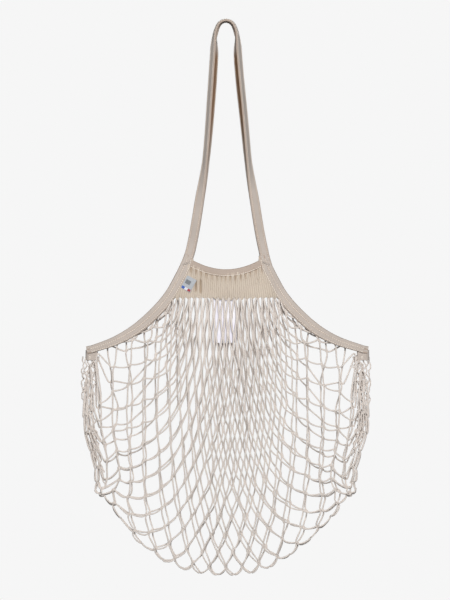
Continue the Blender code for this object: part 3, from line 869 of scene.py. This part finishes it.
def make_collar(side, label, tape, thread):
    """A tape folded over the yoke's gathered top edge, with one sewn row."""
    xs = np.linspace(-COLLAR_X - 3 * MM, COLLAR_X + 3 * MM, 90)
    line = stack(xs, collar_z(xs))
    across = in_plane_normals(line)
    path = lay_on_panel(line, side, 0)
    seams = [COLLAR_HEIGHT / 2 - COLLAR_SEAM_INSET]
    section = tape_section(COLLAR_HEIGHT, FOLD_THICK, seams)
    across3 = stack(across[:, 0], 0 * xs, across[:, 1])
    out = np.tile((0.0, side, 0.0), (len(xs), 1))
    mesh = tape_mesh(path, across3, out, section, COLLAR_TONE + seam_shade(section, seams))
    name, body = f"{label}_collar", f"{label}_flap"
    make_piece(mesh, f"{name}_tape", tape, body, name)
    seam = lay_on_panel(line + across * seams[0], side, FOLD_THICK / 2 - 0.1 * MM)
    mesh = Mesh()
    add_stitches(mesh, seam, out, COLLAR_STITCH_PITCH)
    make_piece(mesh, f"{name}_thread", thread, body, f"{name}_stitching")


def make_binding(side, label, hand, mirror, tape, thread):
    """A tape folded over a side edge, with two rows of stitching."""
    width = BINDING_WIDTH * BINDING_TAPER
    middle = BINDING_PATH + BINDING_INWARD * width[:, None] / 2
    if mirror > 0:
        middle[:, 0] += RIGHT_REACH * smooth_step(*REACH_OUT, middle[:, 0])
    seams = (BINDING_WIDTH / 2 - SEAM_INSET, INNER_SEAM)
    section = tape_section(BINDING_WIDTH, FOLD_THICK, seams)
    path = lay_on_panel(middle, side, 0)
    across = stack(BINDING_INWARD[:, 0], 0 * path[:, 0], BINDING_INWARD[:, 1])
    out = np.tile((0.0, side, 0.0), (len(path), 1))
    flip = np.array([mirror, 1, 1])
    mesh = tape_mesh(path * flip, across * flip * (width / BINDING_WIDTH)[:, None], out, section,
                     seam_shade(section, seams))
    name, body = f"{label}_{hand}_binding", f"{label}_flap"
    make_piece(mesh, f"{name}_tape", tape, body, name)
    mesh = Mesh()
    for seam in seams:
        line = (middle + BINDING_INWARD * (seam * width / BINDING_WIDTH)[:, None])[2:-2]
        add_stitches(mesh, lay_on_panel(line, side, FOLD_THICK / 2 - STITCH_SINK) * flip, out[2:-2])
    make_piece(mesh, f"{name}_thread", thread, body, f"{name}_stitching")


def make_tack(node, body, material, rows, long_x):
    """A bar tack: zigzag stitches packed side by side over the CAD tack's place."""
    low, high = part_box(node)
    if not long_x:
        high.z = low.z + CORNER_TACK_HEIGHT
    side = -1 if low.y < 0 else 1
    y = (low.y + high.y) / 2
    size, centre = high - low, (low + high) / 2
    tilt = math.atan2(size.z - 2 * MM, size.x) * (1 if low.x < 0 else -1) if long_x else 0.0
    c, s = math.cos(tilt), math.sin(tilt)
    mesh = Mesh()
    for n in range(rows):
        share = (n + 0.5) / rows - 0.5
        lean = 0.35 * MM * (1 if n % 2 else -1)
        if long_x:
            run, reach = share * size.x, 1.3 * MM
            a, b = (run - lean, -reach), (run + lean, reach)
        else:
            run, reach = share * size.z, size.x / 2
            a, b = (-reach, run - lean), (reach, run + lean)
        line = np.linspace(a, b, 6)
        x = centre.x + c * line[:, 0] - s * line[:, 1]
        z = centre.z + s * line[:, 0] + c * line[:, 1]
        rise = 0.25 * MM * STITCH_ARCH - 0.1 * MM
        add_tube(mesh, stack(x, y + side * rise, z), TACK_RADIUS, 6)
    make_piece(mesh, f"{node}_thread", material, body, node)


def make_corner(hand, mirror, tape, thread):
    """The upright turn of tape that joins a front binding to the back one."""
    low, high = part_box(f"{hand}_corner_fold")
    bend = (high.y - low.y) / 2 - CORNER_BEND_INSET
    start = abs(low.x if mirror > 0 else high.x) - CORNER_TAPE_START
    end = abs(high.x if mirror > 0 else low.x) - CORNER_TAPE_END
    if mirror > 0:
        start, end = start + RIGHT_REACH, end + RIGHT_REACH
    plan = [(start, -bend), (end - bend, -bend)]
    for turn in np.linspace(-math.pi / 2, math.pi / 2, 7)[1:-1]:
        plan.append((end - bend + bend * math.cos(turn), bend * math.sin(turn)))
    plan += [(end - bend, bend), (start, bend)]
    plan = smooth_curve(plan, 40)
    height = high.z - low.z - CORNER_TAPE_SHORT
    level = low.z + height / 2 + CORNER_TAPE_RISE
    path = stack(mirror * plan[:, 0], plan[:, 1], np.full(len(plan), level))
    along = unit(np.gradient(path, axis=0))
    up = np.tile((0.0, 0.0, 1.0), (len(path), 1))
    out = np.cross(along, up)
    mesh = tape_mesh(path, up, out, tape_section(height, CORNER_TAPE_THICK, [height / 2 - 2 * MM]))
    make_piece(mesh, f"{hand}_corner_tape", tape, "bag_body", f"{hand}_corner_fold")
    make_tack(f"{hand}_corner_tack", "bag_body", thread, 4, False)


# ---- handles

def handle_line(inset):
    """Half of a handle's middle line, from its base up to the top bend, as (x, z)."""
    leg = [(x * MM, z * MM) for x, z in HANDLE_FOOT]
    for x, z in HANDLE_LEG:
        leg.append((x * MM - inset * smooth_step(*INSET_UP_MM, z), z * MM))
    last = len(HANDLE_BEND) - 1
    for n, (x, z) in enumerate(HANDLE_BEND):
        leg.append((x * MM - inset * BACK_BEND_INSET * (1 - n / last), z * MM))
    return smooth_curve(leg, 170)


def make_handle(side, label, inset, tape, thread):
    """A tape loop: flat at its base, turned nearly edge on up the legs."""
    half = handle_line(inset)
    line = np.vstack([half * (-1, 1), half[-2::-1]])
    z = line[:, 1]
    aside = smooth_step(*LEAN_FROM, z) * fade_out(*LEAN_ENDS, z)
    line[:, 0] += np.where(line[:, 0] < 0, LEFT_LEG_LEAN, RIGHT_LEG_LEAN) * aside
    along = unit(np.gradient(line, axis=0))
    foot, leg = smooth_step(*TWIST_FOOT_TURN, z), smooth_step(*TWIST_LEG_TURN, z)
    twist = TWIST_LEG * (TWIST_FOOT * foot + (1 - TWIST_FOOT) * leg)
    top_twist = math.pi / 2 + side * TWIST_TOP_LEAN
    twist = twist + (top_twist - TWIST_LEG) * smooth_step(*TWIST_TOP_TURN, z)
    flat, lean = np.cos(twist), side * np.sin(twist)
    pinch = 1 - HANDLE_PINCH * fade_out(*PINCH_ENDS, z)
    across = stack(-along[:, 1] * flat, -lean, along[:, 0] * flat) * pinch[:, None]
    through = stack(-along[:, 1] * lean, flat, along[:, 0] * lean)
    path = stack(line[:, 0], np.full(len(line), side * HANDLE_Y), z)
    path[:, 1] += side * WAVE_DEPTH * np.sin(run_length(path) * WAVE_TURN)
    seams = (TAPE_WIDTH / 2 - SEAM_INSET, SEAM_INSET - TAPE_WIDTH / 2)
    section = tape_section(TAPE_WIDTH, TAPE_THICK, seams)
    # Painted shade on the inner faces of the legs, between the heights given above; the seam lines
    # and tape edges get painted shade too
    painted_shade = smooth_step(*INNER_SHADE_FROM, z) * fade_out(*INNER_SHADE_ENDS, z)
    facing = through[:, 0] * -np.sign(line[:, 0])
    shade = np.zeros((len(line), len(section)))
    lines = seam_shade(section, seams)
    for k, t in enumerate(section[:, 1]):
        shade[:, k] = np.maximum(painted_shade * (np.sign(t) * facing > 0.2) * (abs(t) > 0.3 * MM), lines[k])
    handle = tape_mesh(path, across, through, section, shade).build(f"{label}_handle_tape", tape)
    mesh = Mesh()
    for face in (1, -1):
        for place in seams:
            row = path + across * place + through * face * (TAPE_THICK / 2 - STITCH_SINK)
            add_stitches(mesh, row[4:-4], (through * face)[4:-4], radius=HANDLE_STITCH_RADIUS)
    stitching = mesh.build(f"{label}_handle_thread", thread)
    for piece, finish in ((handle, "cotton_tape"), (stitching, "thread")):
        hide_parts(f"{label}_handle")
        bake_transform(piece)


# ---- labels

def make_label(name, node, material, corner, right, down, size, thick, curl):
    """A thin sheet hung from its hem, from its top left corner. curl says how far it stands
    off in -Y at each share (u, v) of the way right and down."""
    columns, rows = 22, 34
    u, v = np.meshgrid(np.linspace(0, 1, columns), np.linspace(0, 1, rows), indexing="ij")
    flat = np.array(corner) + u[..., None] * right * size[0] + v[..., None] * down * size[1]
    flat[..., 1] -= curl(u, v)
    front, back = flat.copy(), flat.copy()
    front[..., 1] -= thick / 2
    back[..., 1] += thick / 2
    rings = np.concatenate([front, back[:, ::-1]], axis=1)
    drop = np.linspace(0, size[1], rows)
    mesh = Mesh(turned=True)
    mesh.add(rings, np.linspace(0, size[0], columns), np.concatenate([drop, drop[::-1], drop[:1]]))
    label = make_piece(mesh, name, material, node, node)


def make_woven_label():
    low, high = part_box("woven_label")
    width, height, tilt = 13.2 * MM, 17.6 * MM, math.radians(29)
    right = np.array([math.cos(tilt), 0, -math.sin(tilt)])
    down = np.array([-math.sin(tilt), 0, -math.cos(tilt)])
    left = low.x - 0.9 * MM + height * math.sin(tilt)

    def curl(u, v):
        return 1.1 * MM * u**2 + 0.5 * MM * u * np.sin(3 * v) + 0.35 * MM * np.sin(math.pi * v) * u

    make_label("woven_side_label", "woven_label", woven_label_material(width, height),
               (left, (low.y + high.y) / 2, high.z + 0.8 * MM), right, down, (width, height),
               0.45 * MM, curl)


def make_care_label():
    low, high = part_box("care_label")
    size = (high.x - low.x, high.z - low.z)

    def curl(u, v):
        return 0.8 * MM * np.sin(2.4 * v) * v + 0.5 * MM * v * np.cos(math.pi * u)

    make_label("satin_care_label", "care_label", satin_label_material(),
               (low.x, (low.y + high.y) / 2, high.z), np.array([1.0, 0, 0]),
               np.array([0, 0, -1.0]), size, 0.35 * MM, curl)


# ---- studio

def area_light(name, place, size, power):
    """A round softbox that points at the middle of the bag."""
    data = bpy.data.lights.new(name, "AREA")
    data.shape = "DISK"
    data.size = size
    data.energy = power
    lamp = new_object(name, data)
    lamp.location = place
    aim = np.array((0, 0, -0.35)) - np.array(place)
    tip = math.acos(-aim[2] / np.linalg.norm(aim))
    lamp.rotation_euler = (tip, 0, math.atan2(aim[1], aim[0]) - math.pi / 2)


def make_studio():
    scene = bpy.context.scene
    scene.view_settings.view_transform = "Standard"
    pale = (0.922, 0.922, 0.922, 1)
    world = bpy.data.worlds.new("studio")
    world.use_nodes = True
    nodes, links = world.node_tree.nodes, world.node_tree.links
    soft = nodes["Background"]
    set_inputs(soft, {"Color": (0.88, 0.94, 1.0, 1), "Strength": 0.17})
    seen = nodes.new("ShaderNodeBackground")
    set_inputs(seen, {"Color": pale})
    choose = nodes.new("ShaderNodeMixShader")
    ray = nodes.new("ShaderNodeLightPath")
    links.new(ray.outputs["Is Camera Ray"], choose.inputs[0])
    links.new(soft.outputs[0], choose.inputs[1])
    links.new(seen.outputs[0], choose.inputs[2])
    links.new(choose.outputs[0], nodes["World Output"].inputs["Surface"])
    scene.world = world
    mesh = bpy.data.meshes.new("floor")
    reach, level = 40.0, BOTTOM_Z - 0.6
    corners = [(x * reach, y * reach, level) for x, y in ((-1, -1), (1, -1), (1, 1), (-1, 1))]
    mesh.from_pydata(corners, [], [(0, 1, 2, 3)])
    floor = new_object("floor", mesh)
    paper = bpy.data.materials.new("pale_paper")
    paper.use_nodes = True
    set_inputs(paper.node_tree.nodes["Principled BSDF"],
               {"Base Color": (0, 0, 0, 1), "Specular IOR Level": 0, "Emission Color": pale,
                "Emission Strength": 1})
    mesh.materials.append(paper)
    floor.visible_diffuse = False
    floor.visible_glossy = False
    area_light("front_softbox", (0.15, -2.7, 0.3), 0.9, 81)
    area_light("left_softbox", (-2.2, -1.2, 0.5), 1.0, 3)
    area_light("back_softbox", (0.8, 2.4, 0.2), 1.2, 32)


def make_camera():
    """A long lens level with the middle of the bag, square to it."""
    data = bpy.data.cameras.new("camera")
    data.lens = 124.8
    data.sensor_width = 36
    data.clip_end = 200
    camera = new_object("camera", data)
    camera.location = (-1.25 * MM, -2.6, -345.6 * MM)
    camera.rotation_euler = (math.pi / 2, 0, 0)
    bpy.context.scene.camera = camera


def main():
    make_camera()
    make_studio()
    cord, tape, rib, thread = cord_material(), tape_material(), rib_material(), thread_material()
    make_nets(cord)
    for side, label in ((-1, "front"), (1, "back")):
        make_yoke(side, label, rib)
        make_collar(side, label, tape, thread)
        for hand, mirror in (("left", -1), ("right", 1)):
            make_binding(side, label, hand, mirror, tape, thread)
            make_tack(f"{label}_{hand}_bar_tack", f"{label}_flap", tape, 16, True)
        make_handle(side, label, BACK_LOOP_INSET if side > 0 else 0, tape, thread)
    for hand, mirror in (("left", -1), ("right", 1)):
        make_corner(hand, mirror, tape, thread)
        make_edge_cords(hand, mirror, cord)
    make_woven_label()
    make_care_label()


main()
